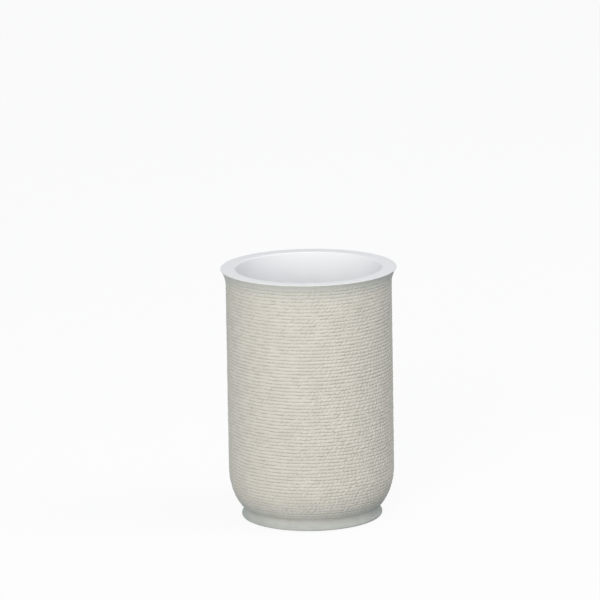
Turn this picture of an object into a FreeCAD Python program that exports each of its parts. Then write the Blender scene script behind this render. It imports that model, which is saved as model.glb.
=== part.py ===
"""Bathroom tumbler: a sand-coloured sleeve with a wound-cord relief, a white cup that lifts out of it,
and a non-slip pad taped under the foot. Millimetres, +Z up, the table at height zero on the axis."""
import FreeCAD, Part
import math
import os
import re
import Sketcher

doc = FreeCAD.newDocument("tumbler")

# Driving dimensions: radii are taken from the upright axis, heights from the table
driving = {
    # The whole tumbler, with the cup resting in the sleeve
    "total_height": 110.0,
    # Outside of the sleeve, measured between the cords
    "body_radius": 35.6,
    "rim_overhang": 2.4,
    "rim_land": 0.1,
    "flare_radius": 11.0,
    "shoulder_start": 21.5,
    "shoulder_radius": 28.2,
    "cove_top": 4.7,
    "cove_depth": 0.25,
    # Cords of the relief: the smooth rim above them, their spacing and how far they stand out
    "smooth_rim": 1.8,
    "cord_pitch": 1.5,
    "cord_relief": 0.3,
    "cord_radius_share": 0.47,
    # Foot, set in from the wall, with the recess that takes the pad
    "foot_inset": 5.05,
    "foot_lift": 0.4,
    "foot_height": 1.5,
    "foot_round_share": 0.4,
    "sleeve_floor": 2.8,
    "pad_margin": 3.55,
    "pad_thickness": 1.2,
    "pad_clearance": 0.3,
    "tape_inset": 0.5,
    "tape_thickness": 0.2,
    # Walls at the mouth, from the outside in, and the draft by which both narrow towards the floor
    "sleeve_wall": 1.6,
    "cup_clearance": 0.3,
    "cup_wall": 2.1,
    "draft_run": 0.7,
    # Cup: its mouth, the lip that hangs on the sleeve and thins towards its edge, and its floor
    "mouth_round": 0.6,
    "lip_thickness": 0.7,
    "lip_edge": 0.15,
    "lip_round": 0.1,
    "seat_chamfer": 0.6,
    "cup_corner": 11.9,
    "cup_floor": 1.8,
    "cup_under_gap": 0.5,
}
sizes = doc.addObject("Spreadsheet::Sheet", "sizes")
for row, (alias, number) in enumerate(driving.items(), start=1):
    sizes.set(f"A{row}", alias.replace("_", " "))
    sizes.set(f"B{row}", str(number))
    sizes.setAlias(f"B{row}", alias)
doc.recompute()

# Sizes that follow from the driving dimensions
derived = doc.addObject("App::VarSet", "derived")


def holder(name):
    """The document object that holds a named size."""
    return sizes if name in driving else derived


def bound(name):
    """A named size as it is written in an expression."""
    return f"{holder(name).Name}.{name}"


def value(name):
    """A named size as a number."""
    return getattr(holder(name), name)


def derive(name, formula):
    """Adds a size worked out from others, which the formula gives in braces."""
    derived.addProperty("App::PropertyFloat", name)
    derived.setExpression(name, re.sub(r"\{(\w+)\}", lambda found: bound(found[1]), formula))
    doc.recompute()


# Sleeve
derive("rim_radius", "{body_radius} + {rim_overhang}")
derive("seat_height", "{total_height} - {lip_thickness}")
derive("rim_top", "{total_height} - {lip_edge}")
derive("flare_top", "{rim_top} - {rim_land}")
derive("flare_start", "{flare_top} - sqrt({rim_overhang} * (2 * {flare_radius} - {rim_overhang}))")
derive("shoulder_centre", "{body_radius} - {shoulder_radius}")
derive("shoulder_drop", "{shoulder_start} - {cove_top}")
derive("cove_top_radius", "{shoulder_centre} + sqrt({shoulder_radius}^2 - {shoulder_drop}^2)")
derive("foot_radius", "{body_radius} - {foot_inset}")
derive("foot_top", "{foot_lift} + {foot_height}")
derive("foot_round", "{foot_height} * {foot_round_share}")
derive("foot_flat_radius", "{foot_radius} - {foot_round}")
derive("foot_side_low", "{foot_lift} + {foot_round}")
derive("foot_side_high", "{foot_top} - {foot_round}")
derive("cove_chord", "sqrt(({cove_top_radius} - {foot_flat_radius})^2 + ({cove_top} - {foot_top})^2)")
derive("cove_radius", "{cove_chord}^2 / (8 * {cove_depth}) + {cove_depth} / 2")
derive("pad_radius", "{foot_radius} - {pad_margin}")
derive("recess_radius", "{pad_radius} + {pad_clearance}")
derive("recess_top", "{pad_thickness} + {tape_thickness}")
derive("sleeve_floor_top", "{recess_top} + {sleeve_floor}")

# Hollow of the sleeve at its mouth, and the cup that hangs in it
derive("hollow_mouth_radius", "{body_radius} - {sleeve_wall}")
derive("seat_slope", "({rim_top} - {seat_height}) / ({rim_radius} - {hollow_mouth_radius})")
derive("cup_neck_radius", "{hollow_mouth_radius} - {cup_clearance}")
derive("cup_neck_top", "{seat_height} - {seat_slope} * {cup_clearance}")
derive("mouth_radius", "{cup_neck_radius} - {cup_wall}")
derive("cup_low_radius", "{mouth_radius} - {draft_run}")
derive("cup_bottom", "{sleeve_floor_top} + {cup_under_gap}")
derive("cup_floor_top", "{cup_bottom} + {cup_floor}")
derive("cup_outer_corner", "{cup_corner} + {cup_wall}")
derive("cup_outer_low_radius", "{cup_low_radius} + {cup_wall}")
derive("cup_outer_flat_radius", "{cup_outer_low_radius} - {cup_outer_corner}")
derive("cup_outer_corner_top", "{cup_bottom} + {cup_outer_corner}")
derive("lip_side_top", "{total_height} - {lip_round}")
derive("lip_flat_radius", "{rim_radius} - {lip_round}")
derive("mouth_round_radius", "{mouth_radius} + {mouth_round}")
derive("mouth_round_low", "{total_height} - {mouth_round}")
derive("cup_corner_top", "{cup_floor_top} + {cup_corner}")
derive("cup_flat_radius", "{cup_low_radius} - {cup_corner}")

# Rest of the hollow, which follows the cup
derive("seat_inner_radius", "{hollow_mouth_radius} + {seat_chamfer}")
derive("seat_inner_height", "{seat_height} + {seat_slope} * {seat_chamfer}")
derive("seat_chamfer_low", "{seat_height} - {seat_chamfer}")
derive("hollow_low_radius", "{cup_outer_low_radius} + {cup_clearance}")
derive("hollow_corner", "{cup_outer_corner} + {cup_clearance}")
derive("hollow_corner_top", "{sleeve_floor_top} + {hollow_corner}")
derive("hollow_flat_radius", "{hollow_low_radius} - {hollow_corner}")

# Cords and pad tape
derive("cord_radius", "{cord_pitch} * {cord_radius_share}")
derive("cord_inset", "{cord_radius} - {cord_relief}")
derive("wall_length", "{flare_start} - {shoulder_start}")
derive("tape_radius", "{pad_radius} - {tape_inset}")

FULL_TURN = 360
AXIS = None
LEFT = "left"
RIGHT = "right"

# How a sketch numbers its own origin and upright axis, and the ends and the middle of a curve
ORIGIN_INDEX = -1
UPRIGHT_AXIS_INDEX = -2
START_INDEX = 1
END_INDEX = 2
CENTRE_INDEX = 3


def new_body(label):
    """An empty body under its own name."""
    body = doc.addObject("PartDesign::Body", label)
    body.Label = label
    body.Placement = FreeCAD.Placement()
    return body


def new_sketch(body, name, role):
    """A sketch on one of the body's own origin planes."""
    sketch = body.newObject("Sketcher::SketchObject", name)
    plane = next(item for item in body.Origin.OriginFeatures if item.Role == role)
    sketch.AttachmentSupport = [(plane, "")]
    sketch.MapMode = "FlatFace"
    return sketch


def bind(sketch, constraint, expression):
    """Adds a constraint whose size is an expression."""
    index = sketch.addConstraint(constraint)
    sketch.setExpression(f"Constraints[{index}]", expression)


def arc_between(start, end, radius, side):
    """The arc from start to end that is shorter than a half circle, its centre to one side of the way."""
    chord = end - start
    reach = math.sqrt(radius ** 2 - (chord.Length / 2) ** 2)
    leftward = FreeCAD.Vector(-chord.y, chord.x, 0).normalize() * reach
    centre = start + chord / 2 + (leftward if side == LEFT else -leftward)
    first, last = (start, end) if side == LEFT else (end, start)
    angles = [math.atan2(point.y - centre.y, point.x - centre.x) for point in (first, last)]
    return Part.ArcOfCircle(Part.Circle(centre, FreeCAD.Vector(0, 0, 1), radius), *angles)


def turn_section(body, corners):
    """Turns a closed section about the upright axis. Each corner is its radius, its height and, where the
    stretch that ends there is round, the radius of that arc and the side on which its centre lies."""
    sketch = new_sketch(body, f"{body.Label}_section", "XZ_Plane")
    places = [FreeCAD.Vector(value(corner[0]) if corner[0] else 0, value(corner[1]), 0) for corner in corners]
    ends = []
    for corner, start, end in zip(corners, places[-1:] + places, places):
        if len(corner) > 2:
            sketch.addGeometry(arc_between(start, end, value(corner[2]), corner[3]))
            ends.append((START_INDEX, END_INDEX) if corner[3] == LEFT else (END_INDEX, START_INDEX))
        else:
            sketch.addGeometry(Part.LineSegment(start, end))
            ends.append((START_INDEX, END_INDEX))
    for index, corner in enumerate(corners):
        after = (index + 1) % len(corners)
        tail = ends[index][1]
        sketch.addConstraint(Sketcher.Constraint("Coincident", index, tail, after, ends[after][0]))
        if corner[0] is AXIS:
            sketch.addConstraint(Sketcher.Constraint("PointOnObject", index, tail, UPRIGHT_AXIS_INDEX))
        else:
            across = Sketcher.Constraint("DistanceX", ORIGIN_INDEX, START_INDEX, index, tail, places[index].x)
            bind(sketch, across, bound(corner[0]))
        upward = Sketcher.Constraint("DistanceY", ORIGIN_INDEX, START_INDEX, index, tail, places[index].y)
        bind(sketch, upward, bound(corner[1]))
        if len(corner) > 2:
            bind(sketch, Sketcher.Constraint("Radius", index, value(corner[2])), bound(corner[2]))
    turn_sketch(body, sketch, f"{body.Label}_turned")


def turn_sketch(body, sketch, name):
    """Adds the solid that a sketch sweeps in a full turn about the upright axis."""
    turned = body.newObject("PartDesign::Revolution", name)
    turned.Profile = sketch
    turned.ReferenceAxis = (sketch, ["V_Axis"])
    turned.Angle = FULL_TURN
    doc.recompute()


# Outer sleeve: one moulding, with a flared rim, a straight wall, a round shoulder, a cove and a foot
outer_sleeve = new_body("outer_sleeve")
turn_section(outer_sleeve, [
    (AXIS, "recess_top"),
    ("recess_radius", "recess_top"),
    ("recess_radius", "foot_lift"),
    ("foot_flat_radius", "foot_lift"),
    ("foot_radius", "foot_side_low", "foot_round", LEFT),
    ("foot_radius", "foot_side_high"),
    ("foot_flat_radius", "foot_top", "foot_round", LEFT),
    ("cove_top_radius", "cove_top", "cove_radius", RIGHT),
    ("body_radius", "shoulder_start", "shoulder_radius", LEFT),
    ("body_radius", "flare_start"),
    ("rim_radius", "flare_top", "flare_radius", RIGHT),
    ("rim_radius", "rim_top"),
    ("seat_inner_radius", "seat_inner_height"),
    ("hollow_mouth_radius", "seat_chamfer_low"),
    ("hollow_low_radius", "hollow_corner_top"),
    ("hollow_flat_radius", "sleeve_floor_top", "hollow_corner", RIGHT),
    (AXIS, "sleeve_floor_top"),
])


# Wound-cord relief of the sleeve: round cords side by side, from below the smooth rim to the cove
def cord_place(step):
    """Radius and height, as expressions, of a cord's middle so many steps down from the flare's start."""
    inset = bound("cord_inset")
    down = f"{step} * {bound('cord_pitch')}"
    if step < 0:
        reach = f"({bound('flare_radius')} + {inset})"
        angle = f"({down} / {bound('flare_radius')}) * 1 rad"
        radius = f"{bound('body_radius')} + {bound('flare_radius')} - {reach} * cos({angle})"
        return radius, f"{bound('flare_start')} - {reach} * sin({angle})"
    if step * value("cord_pitch") <= value("wall_length"):
        return f"{bound('body_radius')} - {inset}", f"{bound('flare_start')} - {down}"
    reach = f"({bound('shoulder_radius')} - {inset})"
    angle = f"(({down} - {bound('wall_length')}) / {bound('shoulder_radius')}) * 1 rad"
    radius = f"{bound('shoulder_centre')} + {reach} * cos({angle})"
    return radius, f"{bound('shoulder_start')} - {reach} * sin({angle})"


smooth_flare_rise = value("flare_top") - value("smooth_rim") - value("flare_start")
flare_path = value("flare_radius") * math.asin(smooth_flare_rise / value("flare_radius"))
shoulder_path = value("shoulder_radius") * math.asin(value("shoulder_drop") / value("shoulder_radius"))
first_step = -math.floor(flare_path / value("cord_pitch"))
last_step = math.floor((value("wall_length") + shoulder_path) / value("cord_pitch"))
cords = new_sketch(outer_sleeve, "cord_sections", "XZ_Plane")
for index, step in enumerate(range(first_step, last_step)):
    guess = FreeCAD.Vector(value("body_radius"), value("flare_start") - step * value("cord_pitch"), 0)
    cords.addGeometry(Part.Circle(guess, FreeCAD.Vector(0, 0, 1), value("cord_radius")))
    across, upward = cord_place(step)
    bind(cords, Sketcher.Constraint("DistanceX", ORIGIN_INDEX, START_INDEX, index, CENTRE_INDEX, guess.x), across)
    bind(cords, Sketcher.Constraint("DistanceY", ORIGIN_INDEX, START_INDEX, index, CENTRE_INDEX, guess.y), upward)
    bind(cords, Sketcher.Constraint("Radius", index, value("cord_radius")), bound("cord_radius"))
turn_sketch(outer_sleeve, cords, "cords_turned")

# Inner cup: a white moulding with drafted walls, a rounded floor and a lip, flat on top, that hangs on the
# shallow cone of the seat
inner_cup = new_body("inner_cup")
turn_section(inner_cup, [
    (AXIS, "cup_bottom"),
    ("cup_outer_flat_radius", "cup_bottom"),
    ("cup_outer_low_radius", "cup_outer_corner_top", "cup_outer_corner", LEFT),
    ("cup_neck_radius", "cup_neck_top"),
    ("rim_radius", "rim_top"),
    ("rim_radius", "lip_side_top"),
    ("lip_flat_radius", "total_height", "lip_round", LEFT),
    ("mouth_round_radius", "total_height"),
    ("mouth_radius", "mouth_round_low", "mouth_round", LEFT),
    ("cup_low_radius", "cup_corner_top"),
    ("cup_flat_radius", "cup_floor_top", "cup_corner", RIGHT),
    (AXIS, "cup_floor_top"),
])


def punch_disc(label, radius, thickness):
    """A flat round piece, punched from sheet."""
    body = new_body(label)
    sketch = new_sketch(body, f"{label}_outline", "XY_Plane")
    sketch.addGeometry(Part.Circle(FreeCAD.Vector(), FreeCAD.Vector(0, 0, 1), value(radius)))
    sketch.addConstraint(Sketcher.Constraint("Coincident", 0, CENTRE_INDEX, ORIGIN_INDEX, START_INDEX))
    bind(sketch, Sketcher.Constraint("Radius", 0, value(radius)), bound(radius))
    sheet = body.newObject("PartDesign::Pad", f"{label}_sheet")
    sheet.Profile = sketch
    sheet.setExpression("Length", bound(thickness))
    doc.recompute()
    return body


# Base pad: foam rubber that stands a little below the foot, held in the recess by double-sided tape
base_pad = punch_disc("base_pad", "pad_radius", "pad_thickness")
pad_tape = punch_disc("pad_tape", "tape_radius", "tape_thickness")
pad_tape.setExpression("Placement.Base.z", bound("pad_thickness"))
doc.recompute()

# Every object must have built, and every piece must be one sound solid, before anything is written
for item in doc.Objects:
    if "Invalid" in item.State or "Error" in item.State:
        raise RuntimeError(f"{item.Label} did not build: {item.State}")
pieces = [outer_sleeve, inner_cup, base_pad, pad_tape]
for piece in pieces:
    shape = piece.Shape
    if shape.isNull() or not shape.isValid() or len(shape.Solids) != 1:
        raise RuntimeError(f"{piece.Label} is not one valid solid")
    print(f"{piece.Label}: {shape.Volume:.1f} mm3, {shape.BoundBox}")
os.makedirs("parts", exist_ok=True)
for piece in pieces:
    piece.Shape.exportStep(f"parts/{piece.Label}.step")
print(f"{last_step - first_step} cords")
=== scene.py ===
import math

import bpy
import numpy as np
from mathutils import Matrix, Vector


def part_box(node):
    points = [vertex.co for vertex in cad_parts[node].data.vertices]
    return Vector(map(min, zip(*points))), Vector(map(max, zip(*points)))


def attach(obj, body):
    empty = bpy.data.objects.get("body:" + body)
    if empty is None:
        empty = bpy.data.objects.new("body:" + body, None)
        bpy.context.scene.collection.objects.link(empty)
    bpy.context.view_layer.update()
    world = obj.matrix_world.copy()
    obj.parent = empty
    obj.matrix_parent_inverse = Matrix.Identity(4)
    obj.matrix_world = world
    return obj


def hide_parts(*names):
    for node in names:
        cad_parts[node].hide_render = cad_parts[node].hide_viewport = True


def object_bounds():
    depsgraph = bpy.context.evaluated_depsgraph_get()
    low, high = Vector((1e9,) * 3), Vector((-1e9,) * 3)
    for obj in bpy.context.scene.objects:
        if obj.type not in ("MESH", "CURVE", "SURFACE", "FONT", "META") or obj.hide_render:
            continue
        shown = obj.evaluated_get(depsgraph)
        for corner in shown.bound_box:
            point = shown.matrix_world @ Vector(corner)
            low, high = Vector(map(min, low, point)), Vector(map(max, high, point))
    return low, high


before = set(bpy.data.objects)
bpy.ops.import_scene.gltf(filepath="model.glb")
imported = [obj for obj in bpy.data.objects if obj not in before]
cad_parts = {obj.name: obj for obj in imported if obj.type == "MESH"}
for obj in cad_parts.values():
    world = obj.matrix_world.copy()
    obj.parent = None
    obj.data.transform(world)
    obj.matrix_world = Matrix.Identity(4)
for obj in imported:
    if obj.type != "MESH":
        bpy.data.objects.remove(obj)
cad_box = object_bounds()


# Outer sleeve: the sand-coloured outside of the tumbler, one matte resin moulding. Its mould was taken
# from cord wound close round a form, so fine uneven cords ring it from the foot to just under the rim.
# It carries the cup on its rim, and the pad is taped into the recess under its foot.
sleeve_low, sleeve_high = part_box("outer_sleeve")
rim_radius = sleeve_high.x
rim_top = sleeve_high.z
foot_lift = sleeve_low.z
rim_land = 0.0001
rim_edge_round = 0.00005
flare_radius = 0.0110
body_radius = 0.0356
shoulder_start = 0.0215
shoulder_radius = 0.0282
cove_top = 0.0047
cove_depth = 0.00025
foot_radius = 0.03055
foot_height = 0.0015
foot_round = 0.0006
recess_radius = 0.0273
recess_height = 0.0014
seat_height = 0.1093
hollow_mouth = 0.0340
hollow_radius = 0.0333
hollow_corner = 0.0143
hollow_floor = 0.0042
seat_chamfer = 0.0006
cord_pitch = 0.00150
cord_relief = 0.0003
first_cord = -3
last_cord = 65
sleeve_columns = 576
crisp_bend = math.radians(32)

flare_drop = math.sqrt(flare_radius**2 - (flare_radius - rim_radius + body_radius) ** 2)
flare_start = rim_top - rim_land - flare_drop
seat_slope = (rim_top - seat_height) / (rim_radius - hollow_mouth)
wall_length = flare_start - shoulder_start
shoulder_end = math.asin((shoulder_start - cove_top) / shoulder_radius)


def arc(centre, radius, start, end, steps):
    """A round of a turned outline, as rows of distance from the axis and height, angles in degrees."""
    angles = np.radians(np.linspace(start, end, steps + 1))
    return np.stack([centre[0] + radius * np.cos(angles), centre[1] + radius * np.sin(angles)], axis=1)


def cove(start, end, depth, steps):
    """A hollow round that runs up an outline from one point to another, that deep at its middle."""
    start = np.array(start)
    along = np.array(end) - start
    half = np.linalg.norm(along) / 2
    along = along / (2 * half)
    inward = np.array([-along[1], along[0]])
    radius = (half**2 + depth**2) / (2 * depth)
    swing = np.linspace(-1, 1, steps + 1) * math.asin(half / radius)
    sunk = radius * np.cos(swing) - radius + depth
    return start + np.outer(half + radius * np.sin(swing), along) + np.outer(sunk, inward)


def sleeve_wall(way):
    """The smooth wall so far down from the start of the flare: radius, height and downward lean."""
    above = np.clip(-way, 0, None) / flare_radius
    below = np.clip(way - wall_length, 0, None) / shoulder_radius
    radius = body_radius + flare_radius * (1 - np.cos(above)) - shoulder_radius * (1 - np.cos(below))
    straight = flare_start - np.clip(way, 0, wall_length)
    height = straight + flare_radius * np.sin(above) - shoulder_radius * np.sin(below)
    return radius, height, above + below


def uneven(rows, columns, shortest, longest, draw):
    """Smooth waviness round the girth, one row for each cord, of wavelengths in that range and unit size."""
    girth = 2 * math.pi * body_radius
    waves = np.arange(math.ceil(girth / longest), math.floor(girth / shortest) + 1)
    angle = np.linspace(0, 2 * math.pi, columns, endpoint=False)
    shift = draw.uniform(0, 2 * math.pi, (rows, waves.size, 1))
    size = draw.normal(size=(rows, waves.size, 1))
    summed = (size * np.cos(waves[None, :, None] * angle + shift)).sum(axis=1)
    return summed / summed.std()


def turned_piece(name, radius, height, first_centre, last_centre, strip_share):
    """A turned mesh from rows of radius and height, closed on the axis at the two given heights.
    Rings where the outline bends sharply get a crisp edge. Its texture strip runs round the girth, and each
    stretch of the outline takes the given share of its own length there."""
    rows, columns = radius.shape
    angle = np.linspace(0, 2 * math.pi, columns, endpoint=False)
    rings = np.stack([radius * np.cos(angle), radius * np.sin(angle), height], axis=2).reshape(-1, 3)
    points = np.vstack([rings, [[0, 0, first_centre], [0, 0, last_centre]]])
    number = np.arange(rows * columns).reshape(rows, columns)
    beside = np.roll(number, -1, axis=1)
    quads = np.stack([number[:-1], beside[:-1], beside[1:], number[1:]], axis=2).reshape(-1, 4)
    pole = np.full(columns, rows * columns)
    start_fan = np.stack([pole, beside[0], number[0]], axis=1)
    end_fan = np.stack([number[-1], beside[-1], pole + 1], axis=1)
    mesh = bpy.data.meshes.new(name)
    mesh.from_pydata(points.tolist(), [], quads.tolist() + start_fan.tolist() + end_fan.tolist())
    mesh.polygons.foreach_set("use_smooth", np.ones(len(mesh.polygons), dtype=bool))

    outline = np.stack([radius.mean(axis=1), height.mean(axis=1)], axis=1)
    outline = np.vstack([[0, first_centre], outline, [0, last_centre]])
    runs = np.diff(outline, axis=0)
    heading = np.arctan2(runs[:, 1], runs[:, 0])
    bend = np.abs((np.diff(heading) + math.pi) % (2 * math.pi) - math.pi)
    crisp = bend > crisp_bend
    ends = np.zeros(len(mesh.edges) * 2, dtype=np.int32)
    mesh.edges.foreach_get("vertices", ends)
    ring_of = np.minimum(ends.reshape(-1, 2) // columns, rows)
    level = (ring_of[:, 0] == ring_of[:, 1]) & (ring_of[:, 0] < rows)
    sharp = level & crisp[np.minimum(ring_of[:, 0], rows - 1)]
    mesh.attributes.new("sharp_edge", "BOOLEAN", "EDGE").data.foreach_set("value", sharp)

    length = np.hypot(runs[:, 0], runs[:, 1]) * strip_share
    strip = np.concatenate([[0], np.cumsum(length)]) / length.sum()
    round_share = np.arange(columns) / columns
    next_share = round_share + 1 / columns
    low_v = strip[1:-2]
    high_v = strip[2:-1]
    quad_v = np.repeat(np.stack([low_v, low_v, high_v, high_v], axis=1), columns, axis=0)
    quad_u = np.tile(np.stack([round_share, next_share, next_share, round_share], axis=1), (rows - 1, 1))
    middle = (round_share + next_share) / 2
    start_u = np.stack([middle, next_share, round_share], axis=1)
    end_u = np.stack([round_share, next_share, middle], axis=1)
    start_v = np.tile([strip[0], strip[1], strip[1]], columns)
    end_v = np.tile([strip[-2], strip[-2], strip[-1]], columns)
    u = np.concatenate([quad_u.ravel(), start_u.ravel(), end_u.ravel()])
    v = np.concatenate([quad_v.ravel(), start_v, end_v])
    layout = mesh.uv_layers.new(name="OFBake")
    layout.uv.foreach_set("vector", np.stack([u, v], axis=1).ravel())
    piece = bpy.data.objects.new(name, mesh)
    bpy.context.scene.collection.objects.link(piece)
    return piece


# The cords, from the rim down: each has a crisp groove above it and a round back with a twist in it.
# They are laid unevenly by hand, and each unevenness has a size and a shortest and longest wave. The upper
# cords stand out less and have shallower grooves, and the last ones fade out towards the foot.
wander_size = 0.00008
wander_waves = (0.010, 0.110)
spacing_error = 0.00005
spacing_limit = 2
swell_size = 0.00003
swell_waves = (0.006, 0.040)
groove_size = 0.00005
groove_waves = (0.004, 0.030)
groove_deepest = -0.00008
groove_shallowest = 0.00010
twist_depth = 0.00020
twist_lean = 0.55
twist_length = 0.0021
twist_count_spread = 7
twist_drift_size = 0.35
twist_drift_waves = (0.012, 0.080)
twist_show_mean = 0.65
twist_show_size = 0.40
twist_show_waves = (0.006, 0.050)
twist_show_least = 0.05
twist_show_most = 1.15
crease_narrowing = 1.5
crease_level = 0.2
cord_places = np.array([0.15, 0.50, 0.85])
cord_shares = np.array([0.72, 1.00, 0.72])
upper_stand = 0.74
stand_growth = 0.009
fullest_stand = 1.08
groove_fill_most = 0.00006
groove_fill_begin = 6
groove_fill_end = 30
relief_ease = (0.70, 0.30, 0.40, 0.20)
# Share of the cords' sand colour near the rim and the foot; the rest is a painted shade grey.
unshaded_ease = (0.35, 0.16, 0.32, 0.10)

draw = np.random.default_rng(11)
cord_count = last_cord + 1 - first_cord
wander = wander_size * uneven(cord_count, sleeve_columns, *wander_waves, draw)
wander += spacing_error * draw.normal(size=(cord_count, 1)).clip(-spacing_limit, spacing_limit)
swell = swell_size * uneven(cord_count, sleeve_columns, *swell_waves, draw)
groove = groove_size * uneven(cord_count, sleeve_columns, *groove_waves, draw)
groove = np.clip(groove, groove_deepest, groove_shallowest)
twist_drift = twist_drift_size * uneven(cord_count, sleeve_columns, *twist_drift_waves, draw)
twist_show = twist_show_mean + twist_show_size * uneven(cord_count, sleeve_columns, *twist_show_waves, draw)
twist_show = np.clip(twist_show, twist_show_least, twist_show_most)
ring_angle = np.linspace(0, 2 * math.pi, sleeve_columns + 1)


def eased(cord, at_rim, rim_growth, at_foot, foot_growth):
    """A share that grows cord by cord away from the rim and from the foot, until it is whole."""
    return min(1.0, at_rim + rim_growth * cord, at_foot + foot_growth * (cord_count - 1 - cord))


cord_way = []
cord_rise = []
cord_lay = []
for cord in range(cord_count):
    upper = wander[max(cord - 1, 0)]
    lower = wander[cord]
    under = wander[min(cord + 1, cord_count - 1)]
    top_way = (first_cord + cord - 0.5) * cord_pitch
    fade = eased(cord, *relief_ease)
    # Near the rim and the foot the sand colour gives way to painted shade.
    unshaded_share = eased(cord, *unshaded_ease)
    stand = min(fullest_stand, upper_stand + stand_growth * cord)
    fill_share = min(cord / groove_fill_begin, 1 - cord / groove_fill_end)
    groove_fill = groove_fill_most * max(0.0, fill_share)
    cord_way.append(top_way + (upper + lower) / 2)
    cord_rise.append(groove[cord] * fade + groove_fill)
    strands = round(2 * math.pi * body_radius / twist_length)
    strands += draw.integers(-twist_count_spread, twist_count_spread + 1)
    begin = draw.uniform(0, 1)
    drift = np.append(twist_drift[cord], twist_drift[cord][0])
    turn = strands * ring_angle / (2 * math.pi) + begin + drift
    for place, share in zip(cord_places, cord_shares):
        shift = np.where(place < 0.5, upper * (0.5 - place) + lower * (0.5 + place),
                         lower * (1.5 - place) + under * (place - 0.5))
        crease = (1 - np.abs(np.sin(math.pi * (turn[:-1] + twist_lean * place)))) ** crease_narrowing
        twist = twist_depth * twist_show[cord] * (crease_level - crease)
        rise = (cord_relief + swell[cord]) * share + twist
        cord_way.append(top_way + place * cord_pitch + shift)
        cord_rise.append(rise * fade * stand)
    for place in (0.0, *cord_places, 1.0):
        along_strand = turn + twist_lean * place
        across_cords = np.full(turn.shape, cord + place)
        cord_lay.append(np.stack([along_strand, across_cords, np.full(turn.shape, unshaded_share)], axis=1))
cord_way.append((last_cord + 0.5) * cord_pitch + wander[-1])
cord_rise.append(np.zeros(sleeve_columns))
cord_way = np.array(cord_way[::-1])
cord_rise = np.array(cord_rise[::-1])
wall_radius, wall_height, wall_lean = sleeve_wall(cord_way)
cord_radius = wall_radius + cord_rise * np.cos(wall_lean)
cord_height = wall_height - cord_rise * np.sin(wall_lean)

# The smooth outline below and above the cords. The strip of texture is kept short where nothing shows.
cove_steps = 8
shoulder_steps = 4
flare_steps = 6
hidden_strip_share = 0.35
foot_edge = foot_radius - foot_round
foot_top = foot_lift + foot_height
shoulder_centre = (body_radius - shoulder_radius, shoulder_start)
shoulder_foot = (shoulder_centre[0] + shoulder_radius * math.cos(shoulder_end), cove_top)
cords_end = ((last_cord + 0.5) * cord_pitch - wall_length) / shoulder_radius
flare_centre = (body_radius + flare_radius, flare_start)
cords_begin = (0.5 - first_cord) * cord_pitch / flare_radius
flare_end = math.asin(flare_drop / flare_radius)
corner_height = hollow_floor + hollow_corner
corner_centre = (hollow_radius - hollow_corner, corner_height)
below_cords = np.vstack([
    [[recess_radius, recess_height], [recess_radius, foot_lift]],
    arc((foot_edge, foot_lift + foot_round), foot_round, -90, 0, 5),
    arc((foot_edge, foot_top - foot_round), foot_round, 0, 90, 5),
    cove((foot_edge, foot_top), shoulder_foot, cove_depth, cove_steps)[1:-1],
    arc(shoulder_centre, shoulder_radius, -math.degrees(shoulder_end), -math.degrees(cords_end),
        shoulder_steps)[:-1],
])
above_cords = np.vstack([
    arc(flare_centre, flare_radius, 180 - math.degrees(cords_begin), 180 - math.degrees(flare_end),
        flare_steps)[1:],
    arc((rim_radius - rim_edge_round, rim_top - rim_edge_round), rim_edge_round, 0, 90, 3),
    [[hollow_mouth + seat_chamfer, seat_height + seat_slope * seat_chamfer]],
    [[hollow_mouth, seat_height - seat_chamfer]],
    arc(corner_centre, hollow_corner, 0, -90, 12),
])
sleeve_radius = np.vstack([np.repeat(below_cords[:, :1], sleeve_columns, axis=1), cord_radius,
                           np.repeat(above_cords[:, :1], sleeve_columns, axis=1)])
sleeve_height = np.vstack([np.repeat(below_cords[:, 1:], sleeve_columns, axis=1), cord_height,
                           np.repeat(above_cords[:, 1:], sleeve_columns, axis=1)])
strip_share = np.full(len(sleeve_radius) + 1, hidden_strip_share)
strip_share[2:len(below_cords) + len(cord_radius) + flare_steps] = 1
sleeve = turned_piece("sleeve_cords", sleeve_radius, sleeve_height, recess_height, hollow_floor, strip_share)

# What the finish reads: how far each point stands on a cord's back, which sets painted shade in the grooves,
# the run of the strands round it, and the share of the cords' sand colour, which gives way to darker, cooler
# greys of painted shade in the cove, at the foot and under the rim.
smooth_back = 0.75
lowest_back = -0.3
highest_back = 1.4
flare_unshaded_share = 0.25
cove_unshaded_shares = (0.08, 0.42)
cove_rings = cove_steps - 1 + shoulder_steps
cord_first = len(below_cords) * sleeve_columns
cord_back = np.clip(cord_rise / cord_relief, lowest_back, highest_back)
back_values = np.full(len(sleeve.data.vertices), smooth_back)
back_values[cord_first:cord_first + cord_back.size] = cord_back.ravel()
sleeve.data.attributes.new("cord_back", "FLOAT", "POINT").data.foreach_set("value", back_values)
lay_rows = np.array(cord_lay[::-1]).reshape(cord_count, len(cord_places) + 2, sleeve_columns + 1, 3)
lay_low = lay_rows[:, :-1]
lay_high = lay_rows[:, 1:]
lay_corners = np.stack([lay_low[:, :, :-1], lay_low[:, :, 1:],
                        lay_high[:, :, 1:], lay_high[:, :, :-1]], axis=3).reshape(-1, 3)
lay_first = cord_first * 4
lay_end = lay_first + len(lay_corners)
cove_first = lay_first - cove_rings * sleeve_columns * 4
lay = np.zeros((len(sleeve.data.loops), 3))
lay[cove_first:lay_first, 2] = np.repeat(np.linspace(*cove_unshaded_shares, cove_rings), sleeve_columns * 4)
lay[lay_first:lay_end] = lay_corners
lay[lay_end:, 2] = flare_unshaded_share
sleeve.data.attributes.new("cord_lay", "FLOAT_VECTOR", "CORNER").data.foreach_set("vector", lay.ravel())


def new_finish(name):
    """An empty finish, its node tree and its shader."""
    finish = bpy.data.materials.new(name)
    finish.use_nodes = True
    tree = finish.node_tree
    return finish, tree, tree.nodes["Principled BSDF"]


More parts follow.
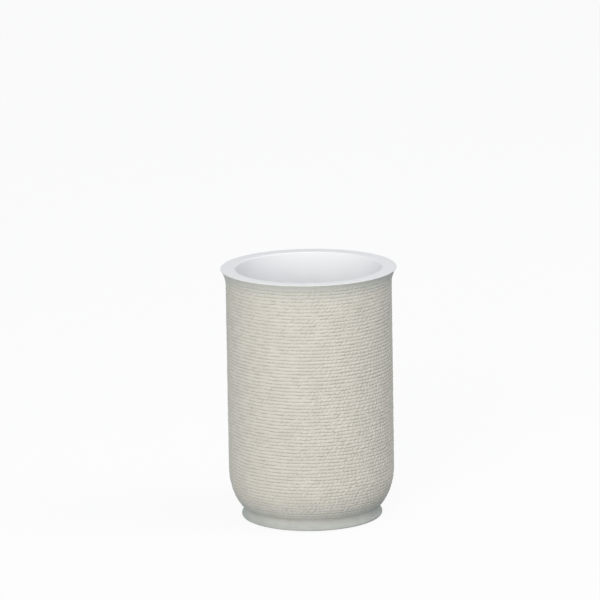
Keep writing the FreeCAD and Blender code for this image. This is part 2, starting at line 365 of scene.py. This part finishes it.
def add_node(tree, kind, **settings):
    """A node of that kind, with settings by name and input values in a dictionary called values."""
    node = tree.nodes.new(kind)
    values = settings.pop("values", {})
    for key, value in settings.items():
        setattr(node, key, value)
    for key, value in values.items():
        node.inputs[key].default_value = value
    return node


# Places of the two colours that go into a colour mix, and of the one that comes out.
first_colour = 6
second_colour = 7
mixed_colour = 2

# Moulded grain: the fine unevenness that a mould leaves, as a mottle for colour and a height for bump.
grain_group = bpy.data.node_groups.new("moulded_grain", "ShaderNodeTree")
grain_group.interface.new_socket("Fine Scale", in_out="INPUT", socket_type="NodeSocketFloat")
grain_group.interface.new_socket("Broad Scale", in_out="INPUT", socket_type="NodeSocketFloat")
grain_group.interface.new_socket("Mottle", in_out="OUTPUT", socket_type="NodeSocketFloat")
grain_group.interface.new_socket("Height", in_out="OUTPUT", socket_type="NodeSocketFloat")
grain_in = add_node(grain_group, "NodeGroupInput")
grain_out = add_node(grain_group, "NodeGroupOutput")
grain_place = add_node(grain_group, "ShaderNodeTexCoord")
grain_fine = add_node(grain_group, "ShaderNodeTexNoise", values={"Detail": 4.0, "Roughness": 0.6})
grain_broad = add_node(grain_group, "ShaderNodeTexNoise", values={"Detail": 3.0, "Roughness": 0.55})
for noise, scale in ((grain_fine, "Fine Scale"), (grain_broad, "Broad Scale")):
    grain_group.links.new(grain_place.outputs["Object"], noise.inputs["Vector"])
    grain_group.links.new(grain_in.outputs[scale], noise.inputs["Scale"])
grain_group.links.new(grain_broad.outputs["Fac"], grain_out.inputs["Mottle"])
grain_group.links.new(grain_fine.outputs["Fac"], grain_out.inputs["Height"])

sand, sand_tree, sand_shader = new_finish("sand_resin")
# Groove colour: painted shade that darkens the grooves between the cords, laid on by each point's height on
# its cord.
groove_painted_shade_colour = (0.485, 0.458, 0.404, 1)
sand_crest_colour = (0.732, 0.696, 0.629, 1)
sand_dull_colour = (0.655, 0.621, 0.559, 1)
# Foot and flare colours: painted shade, darker and cooler greys for the foot in shade and for the flare
# facing down under the rim.
foot_shade_dark_colour = (0.476, 0.490, 0.463, 1)
foot_shade_pale_colour = (0.551, 0.566, 0.535, 1)
flare_painted_shade_colour = (0.610, 0.625, 0.585, 1)
fibre_fineness = (5.0, 2.0, 1.0)
sand_grain = add_node(sand_tree, "ShaderNodeGroup", node_tree=grain_group,
                      values={"Fine Scale": 2600.0, "Broad Scale": 160.0})
back = add_node(sand_tree, "ShaderNodeAttribute", attribute_name="cord_back")
# Ramp from the painted shade in the grooves to the cords' own mottled colour, by the cord_back height.
groove_shade_ramp = add_node(sand_tree, "ShaderNodeMapRange", interpolation_type="SMOOTHSTEP",
                      values={"From Min": -0.1, "From Max": 0.75})
cord_run = add_node(sand_tree, "ShaderNodeAttribute", attribute_name="cord_lay")
fibre_stretch = add_node(sand_tree, "ShaderNodeVectorMath", operation="MULTIPLY",
                         values={1: fibre_fineness})
fibres = add_node(sand_tree, "ShaderNodeTexNoise", values={"Scale": 1.0, "Detail": 2.0, "Roughness": 0.6})
strand_turn = add_node(sand_tree, "ShaderNodeSeparateXYZ")
strand_half = add_node(sand_tree, "ShaderNodeMath", operation="MULTIPLY", values={1: math.pi})
strand_wave = add_node(sand_tree, "ShaderNodeMath", operation="SINE")
strand_round = add_node(sand_tree, "ShaderNodeMath", operation="ABSOLUTE")
tone = add_node(sand_tree, "ShaderNodeMath", operation="ADD")
tone_share = add_node(sand_tree, "ShaderNodeMapRange", values={"From Min": 0.75, "From Max": 1.25})
mottled = add_node(sand_tree, "ShaderNodeMix", data_type="RGBA")
groove_shaded = add_node(sand_tree, "ShaderNodeMix", data_type="RGBA")
mottled.inputs[first_colour].default_value = sand_dull_colour
mottled.inputs[second_colour].default_value = sand_crest_colour
groove_shaded.inputs[first_colour].default_value = groove_painted_shade_colour
# Blends the cords' colour with the painted shade grey, by each point's share of sand colour.
painted_shade_blend = add_node(sand_tree, "ShaderNodeMix", data_type="RGBA")
foot_shade_mottled = add_node(sand_tree, "ShaderNodeMix", data_type="RGBA")
foot_shade_mottled.inputs[first_colour].default_value = foot_shade_dark_colour
foot_shade_mottled.inputs[second_colour].default_value = foot_shade_pale_colour
sand_place = add_node(sand_tree, "ShaderNodeTexCoord")
sand_height = add_node(sand_tree, "ShaderNodeSeparateXYZ")
upper_share = add_node(sand_tree, "ShaderNodeMapRange",
                       values={"From Min": shoulder_start, "From Max": flare_start})
# Painted shade grey: the foot's below the shoulder, the flare's towards the rim.
smooth_painted_shade = add_node(sand_tree, "ShaderNodeMix", data_type="RGBA")
smooth_painted_shade.inputs[second_colour].default_value = flare_painted_shade_colour
sand_rough = add_node(sand_tree, "ShaderNodeMapRange", values={"To Min": 0.68, "To Max": 0.88})
strand_bump = add_node(sand_tree, "ShaderNodeBump", values={"Strength": 1.0, "Distance": 0.00006})
fibre_bump = add_node(sand_tree, "ShaderNodeBump", values={"Strength": 1.0, "Distance": 0.00005})
sand_bump = add_node(sand_tree, "ShaderNodeBump", values={"Strength": 0.5, "Distance": 0.00006})
sand_shader.inputs["Specular IOR Level"].default_value = 0.3
sand_shader.inputs["Sheen Weight"].default_value = 0.20
sand_shader.inputs["Sheen Roughness"].default_value = 0.45
sand_shader.inputs["Sheen Tint"].default_value = (0.62, 0.87, 0.97, 1)
for source, target in (
    (back.outputs["Fac"], groove_shade_ramp.inputs["Value"]),
    (cord_run.outputs["Vector"], fibre_stretch.inputs[0]),
    (fibre_stretch.outputs["Vector"], fibres.inputs["Vector"]),
    (cord_run.outputs["Vector"], strand_turn.inputs["Vector"]),
    (strand_turn.outputs["X"], strand_half.inputs[0]),
    (strand_half.outputs["Value"], strand_wave.inputs[0]),
    (strand_wave.outputs["Value"], strand_round.inputs[0]),
    (sand_grain.outputs["Mottle"], tone.inputs[0]),
    (fibres.outputs["Fac"], tone.inputs[1]),
    (tone.outputs["Value"], tone_share.inputs["Value"]),
    (tone_share.outputs["Result"], mottled.inputs[0]),
    (groove_shade_ramp.outputs["Result"], groove_shaded.inputs[0]),
    (mottled.outputs[mixed_colour], groove_shaded.inputs[second_colour]),
    (tone_share.outputs["Result"], foot_shade_mottled.inputs[0]),
    (sand_place.outputs["Object"], sand_height.inputs["Vector"]),
    (sand_height.outputs["Z"], upper_share.inputs["Value"]),
    (upper_share.outputs["Result"], smooth_painted_shade.inputs[0]),
    (foot_shade_mottled.outputs[mixed_colour], smooth_painted_shade.inputs[first_colour]),
    (smooth_painted_shade.outputs[mixed_colour], painted_shade_blend.inputs[first_colour]),
    (strand_turn.outputs["Z"], painted_shade_blend.inputs[0]),
    (groove_shaded.outputs[mixed_colour], painted_shade_blend.inputs[second_colour]),
    (painted_shade_blend.outputs[mixed_colour], sand_shader.inputs["Base Color"]),
    (sand_grain.outputs["Height"], sand_rough.inputs["Value"]),
    (sand_rough.outputs["Result"], sand_shader.inputs["Roughness"]),
    (strand_round.outputs["Value"], strand_bump.inputs["Height"]),
    (fibres.outputs["Fac"], fibre_bump.inputs["Height"]),
    (strand_bump.outputs["Normal"], fibre_bump.inputs["Normal"]),
    (sand_grain.outputs["Height"], sand_bump.inputs["Height"]),
    (fibre_bump.outputs["Normal"], sand_bump.inputs["Normal"]),
    (sand_bump.outputs["Normal"], sand_shader.inputs["Normal"]),
):
    sand_tree.links.new(source, target)
sleeve.data.materials.append(sand)
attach(sleeve, "sleeve")
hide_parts("outer_sleeve")


# Inner cup: the white satin plastic liner that holds the water. It drops into the sleeve and hangs by a
# thin flat lip that covers the sleeve's rim, and it lifts straight out for washing.
cup_low, cup_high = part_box("inner_cup")
cup_columns = 256
cup_radius = 0.0330
cup_collar = 0.0337
cup_corner = 0.0140
cup_wall_corner = 0.0119
cup_bore = 0.0309
cup_mouth = 0.0316
mouth_round = 0.0006
lip_round = 0.0001
cup_floor_top = 0.0065
lip_radius = cup_high.x
lip_top = cup_high.z
cup_outline = np.vstack([
    arc((cup_radius - cup_corner, cup_low.z + cup_corner), cup_corner, -90, 0, 12),
    [[cup_collar, seat_height - seat_slope * (hollow_mouth - cup_collar)], [lip_radius, rim_top]],
    arc((lip_radius - lip_round, lip_top - lip_round), lip_round, 0, 90, 5),
    arc((cup_mouth + mouth_round, lip_top - mouth_round), mouth_round, 90, 180, 10),
    arc((cup_bore - cup_wall_corner, cup_floor_top + cup_wall_corner), cup_wall_corner, 0, -90, 14),
])
cup = turned_piece("cup_liner", np.repeat(cup_outline[:, :1], cup_columns, axis=1),
                   np.repeat(cup_outline[:, 1:], cup_columns, axis=1), cup_low.z, cup_floor_top,
                   np.ones(len(cup_outline) + 1))
white, white_tree, white_shader = new_finish("white_satin")
white_colour = (0.938, 0.938, 0.956, 1)
white_shade_colour = (0.925, 0.925, 0.943, 1)
white_grain = add_node(white_tree, "ShaderNodeGroup", node_tree=grain_group,
                       values={"Fine Scale": 900.0, "Broad Scale": 60.0})
white_mix = add_node(white_tree, "ShaderNodeMix", data_type="RGBA")
white_mix.inputs[first_colour].default_value = white_shade_colour
white_mix.inputs[second_colour].default_value = white_colour
white_rough = add_node(white_tree, "ShaderNodeMapRange", values={"To Min": 0.46, "To Max": 0.58})
white_bump = add_node(white_tree, "ShaderNodeBump", values={"Strength": 0.15, "Distance": 0.00003})
white_shader.inputs["Specular IOR Level"].default_value = 0.2
for source, target in (
    (white_grain.outputs["Mottle"], white_mix.inputs[0]),
    (white_mix.outputs[mixed_colour], white_shader.inputs["Base Color"]),
    (white_grain.outputs["Height"], white_rough.inputs["Value"]),
    (white_rough.outputs["Result"], white_shader.inputs["Roughness"]),
    (white_grain.outputs["Height"], white_bump.inputs["Height"]),
    (white_bump.outputs["Normal"], white_shader.inputs["Normal"]),
):
    white_tree.links.new(source, target)
cup.data.materials.append(white)
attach(cup, "cup")
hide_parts("inner_cup")


# Base pad: a die-cut disc of dark closed-cell foam that keeps the tumbler from sliding. It stands a little
# proud of the foot, and its cut edge is slightly rounded by the press.
pad_low, pad_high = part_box("base_pad")
pad_columns = 160
pad_edge_round = 0.00025
pad_radius = pad_high.x
pad_outline = np.vstack([
    arc((pad_radius - pad_edge_round, pad_low.z + pad_edge_round), pad_edge_round, -90, 0, 4),
    arc((pad_radius - pad_edge_round, pad_high.z - pad_edge_round), pad_edge_round, 0, 90, 4),
])
pad = turned_piece("base_pad_foam", np.repeat(pad_outline[:, :1], pad_columns, axis=1),
                   np.repeat(pad_outline[:, 1:], pad_columns, axis=1), pad_low.z, pad_high.z,
                   np.ones(len(pad_outline) + 1))
foam, foam_tree, foam_shader = new_finish("dark_foam")
foam_dark_colour = (0.030, 0.030, 0.031, 1)
foam_light_colour = (0.060, 0.059, 0.058, 1)
foam_grain = add_node(foam_tree, "ShaderNodeGroup", node_tree=grain_group,
                      values={"Fine Scale": 1500.0, "Broad Scale": 220.0})
foam_mix = add_node(foam_tree, "ShaderNodeMix", data_type="RGBA")
foam_mix.inputs[first_colour].default_value = foam_dark_colour
foam_mix.inputs[second_colour].default_value = foam_light_colour
foam_place = add_node(foam_tree, "ShaderNodeTexCoord")
foam_cells = add_node(foam_tree, "ShaderNodeTexVoronoi", values={"Scale": 2200.0})
foam_rough = add_node(foam_tree, "ShaderNodeMapRange", values={"To Min": 0.82, "To Max": 0.95})
foam_bump = add_node(foam_tree, "ShaderNodeBump", values={"Strength": 0.7, "Distance": 0.00012})
foam_shader.inputs["Specular IOR Level"].default_value = 0.25
for source, target in (
    (foam_place.outputs["Object"], foam_cells.inputs["Vector"]),
    (foam_grain.outputs["Mottle"], foam_mix.inputs[0]),
    (foam_mix.outputs[mixed_colour], foam_shader.inputs["Base Color"]),
    (foam_grain.outputs["Height"], foam_rough.inputs["Value"]),
    (foam_rough.outputs["Result"], foam_shader.inputs["Roughness"]),
    (foam_cells.outputs["Distance"], foam_bump.inputs["Height"]),
    (foam_bump.outputs["Normal"], foam_shader.inputs["Normal"]),
):
    foam_tree.links.new(source, target)
pad.data.materials.append(foam)
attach(pad, "sleeve")
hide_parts("base_pad")


# Pad tape: the thin disc of double-sided tape that holds the pad in its recess. It is a clear film with a
# faint amber adhesive on both faces, pressed flat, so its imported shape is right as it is.
tape, tape_tree, tape_shader = new_finish("amber_tape")
tape_dark_colour = (0.560, 0.500, 0.380, 1)
tape_light_colour = (0.680, 0.630, 0.500, 1)
tape_grain = add_node(tape_tree, "ShaderNodeGroup", node_tree=grain_group,
                      values={"Fine Scale": 1200.0, "Broad Scale": 300.0})
tape_mix = add_node(tape_tree, "ShaderNodeMix", data_type="RGBA")
tape_mix.inputs[first_colour].default_value = tape_dark_colour
tape_mix.inputs[second_colour].default_value = tape_light_colour
tape_rough = add_node(tape_tree, "ShaderNodeMapRange", values={"To Min": 0.30, "To Max": 0.50})
for source, target in (
    (tape_grain.outputs["Mottle"], tape_mix.inputs[0]),
    (tape_mix.outputs[mixed_colour], tape_shader.inputs["Base Color"]),
    (tape_grain.outputs["Height"], tape_rough.inputs["Value"]),
    (tape_rough.outputs["Result"], tape_shader.inputs["Roughness"]),
):
    tape_tree.links.new(source, target)
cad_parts["pad_tape"].material_slots[0].material = tape


# Studio: a pale floor that keeps a soft shadow, an even pale surround, and a long-lens camera at the angle of
# the photograph. A broad soft lamp stands in front, a little to the left; two weaker ones stand to the right.
floor_reach = 6.0
floor_gap = 0.026
floor_columns = 96
floor_tone = (0.38, 0.38, 0.38, 1)
white_tone = (1, 1, 1, 1)
floor_white_share = 0.90
floor_mesh = bpy.data.meshes.new("floor")
floor_angle = np.linspace(0, 2 * math.pi, floor_columns, endpoint=False)
floor_ring = np.stack([np.cos(floor_angle), np.sin(floor_angle), 0 * floor_angle], axis=1)
floor_points = np.vstack([floor_ring * floor_gap, floor_ring * floor_reach])
floor_faces = [(j, floor_columns + j, floor_columns + (j + 1) % floor_columns, (j + 1) % floor_columns)
               for j in range(floor_columns)]
floor_mesh.from_pydata(floor_points.tolist(), [], floor_faces)
floor = bpy.data.objects.new("floor", floor_mesh)
bpy.context.scene.collection.objects.link(floor)
paper, paper_tree, paper_shader = new_finish("pale_floor")
paper_tone = add_node(paper_tree, "ShaderNodeMix", data_type="RGBA")
paper_tone.inputs[first_colour].default_value = floor_tone
paper_tone.inputs[second_colour].default_value = white_tone
paper_shader.inputs["Roughness"].default_value = 0.9
paper_shader.inputs["Specular IOR Level"].default_value = 0.1
paper_white = add_node(paper_tree, "ShaderNodeEmission", values={"Strength": 1.0})
paper_path = add_node(paper_tree, "ShaderNodeLightPath")
paper_seen = add_node(paper_tree, "ShaderNodeMath", operation="MULTIPLY", values={1: floor_white_share})
paper_mix = add_node(paper_tree, "ShaderNodeMixShader")
paper_side = add_node(paper_tree, "ShaderNodeNewGeometry")
paper_clear = add_node(paper_tree, "ShaderNodeBsdfTransparent")
paper_under = add_node(paper_tree, "ShaderNodeMixShader")
for source, target in (
    (paper_path.outputs["Is Camera Ray"], paper_tone.inputs[0]),
    (paper_tone.outputs[mixed_colour], paper_shader.inputs["Base Color"]),
    (paper_path.outputs["Is Camera Ray"], paper_seen.inputs[0]),
    (paper_seen.outputs["Value"], paper_mix.inputs[0]),
    (paper_shader.outputs["BSDF"], paper_mix.inputs[1]),
    (paper_white.outputs["Emission"], paper_mix.inputs[2]),
    (paper_side.outputs["Backfacing"], paper_under.inputs[0]),
    (paper_mix.outputs["Shader"], paper_under.inputs[1]),
    (paper_clear.outputs["BSDF"], paper_under.inputs[2]),
    (paper_under.outputs["Shader"], paper_tree.nodes["Material Output"].inputs["Surface"]),
):
    paper_tree.links.new(source, target)
floor.data.materials.append(paper)

surround_light = 0.455
surround_colour = (0.945, 0.985, 1.025, 1)
surround = bpy.data.worlds.new("surround")
surround.use_nodes = True
bpy.context.scene.world = surround
air = surround.node_tree
air_light = air.nodes["Background"]
air_light.inputs["Color"].default_value = surround_colour
air_light.inputs["Strength"].default_value = surround_light
air_white = add_node(air, "ShaderNodeBackground", values={"Color": white_tone, "Strength": 1.0})
air_path = add_node(air, "ShaderNodeLightPath")
air_glossy = add_node(air, "ShaderNodeMath", operation="MAXIMUM")
air_clear = add_node(air, "ShaderNodeMath", operation="MAXIMUM")
air_mix = add_node(air, "ShaderNodeMixShader")
for source, target in (
    (air_path.outputs["Is Camera Ray"], air_glossy.inputs[0]),
    (air_path.outputs["Is Glossy Ray"], air_glossy.inputs[1]),
    (air_glossy.outputs["Value"], air_clear.inputs[0]),
    (air_path.outputs["Is Transmission Ray"], air_clear.inputs[1]),
    (air_clear.outputs["Value"], air_mix.inputs[0]),
    (air_light.outputs["Background"], air_mix.inputs[1]),
    (air_white.outputs["Background"], air_mix.inputs[2]),
    (air_mix.outputs["Shader"], air.nodes["World Output"].inputs["Surface"]),
):
    air.links.new(source, target)

object_middle = Vector((0, 0, (cad_box[0].z + cad_box[1].z) / 2))
lamp_distance = 1.5
lamp_width = 0.9
lamp_colour = (1.0, 0.985, 0.950)
for lamp_name, lamp_side, lamp_rise, lamp_power in (
    ("key_lamp", -16, 15, 14.4),
    ("fill_lamp", 84, 38, 3.8),
    ("top_lamp", 70, 65, 2.2),
):
    around = math.radians(lamp_side)
    lifted = math.radians(lamp_rise)
    level_reach = math.cos(lifted)
    lamp_away = Vector((math.sin(around) * level_reach, -math.cos(around) * level_reach, math.sin(lifted)))
    lamp_data = bpy.data.lights.new(lamp_name, "AREA")
    lamp_data.shape = "DISK"
    lamp_data.size = lamp_width
    lamp_data.energy = lamp_power
    lamp_data.color = lamp_colour
    lamp = bpy.data.objects.new(lamp_name, lamp_data)
    lamp.location = object_middle + lamp_away * lamp_distance
    lamp.rotation_euler = lamp_away.to_track_quat("Z", "Y").to_euler()
    lamp.visible_camera = False
    bpy.context.scene.collection.objects.link(lamp)

view_rise = math.radians(13.68)
view_distance = 1.994
view_roll = 0.0155
aim_above = 0.03947
aim_left = 0.00448
lens_length = 275.9
film_width = 36.0
level = Vector((1, 0, 0))
toward = Vector((0, -math.cos(view_rise), math.sin(view_rise)))
upright = Vector((0, math.sin(view_rise), math.cos(view_rise)))
rolled_up = upright * math.cos(view_roll) + level * math.sin(view_roll)
rolled_right = level * math.cos(view_roll) - upright * math.sin(view_roll)
camera_place = object_middle + toward * view_distance
aim = object_middle + rolled_up * aim_above - rolled_right * aim_left
behind = (camera_place - aim).normalized()
across = rolled_up.cross(behind).normalized()
over = behind.cross(across)
camera_data = bpy.data.cameras.new("camera")
camera_data.lens = lens_length
camera_data.sensor_width = film_width
camera = bpy.data.objects.new("camera", camera_data)
camera.matrix_world = Matrix.Translation(camera_place) @ Matrix((across, over, behind)).transposed().to_4x4()
bpy.context.scene.collection.objects.link(camera)
bpy.context.scene.camera = camera
bpy.context.scene.view_settings.view_transform = "Standard"
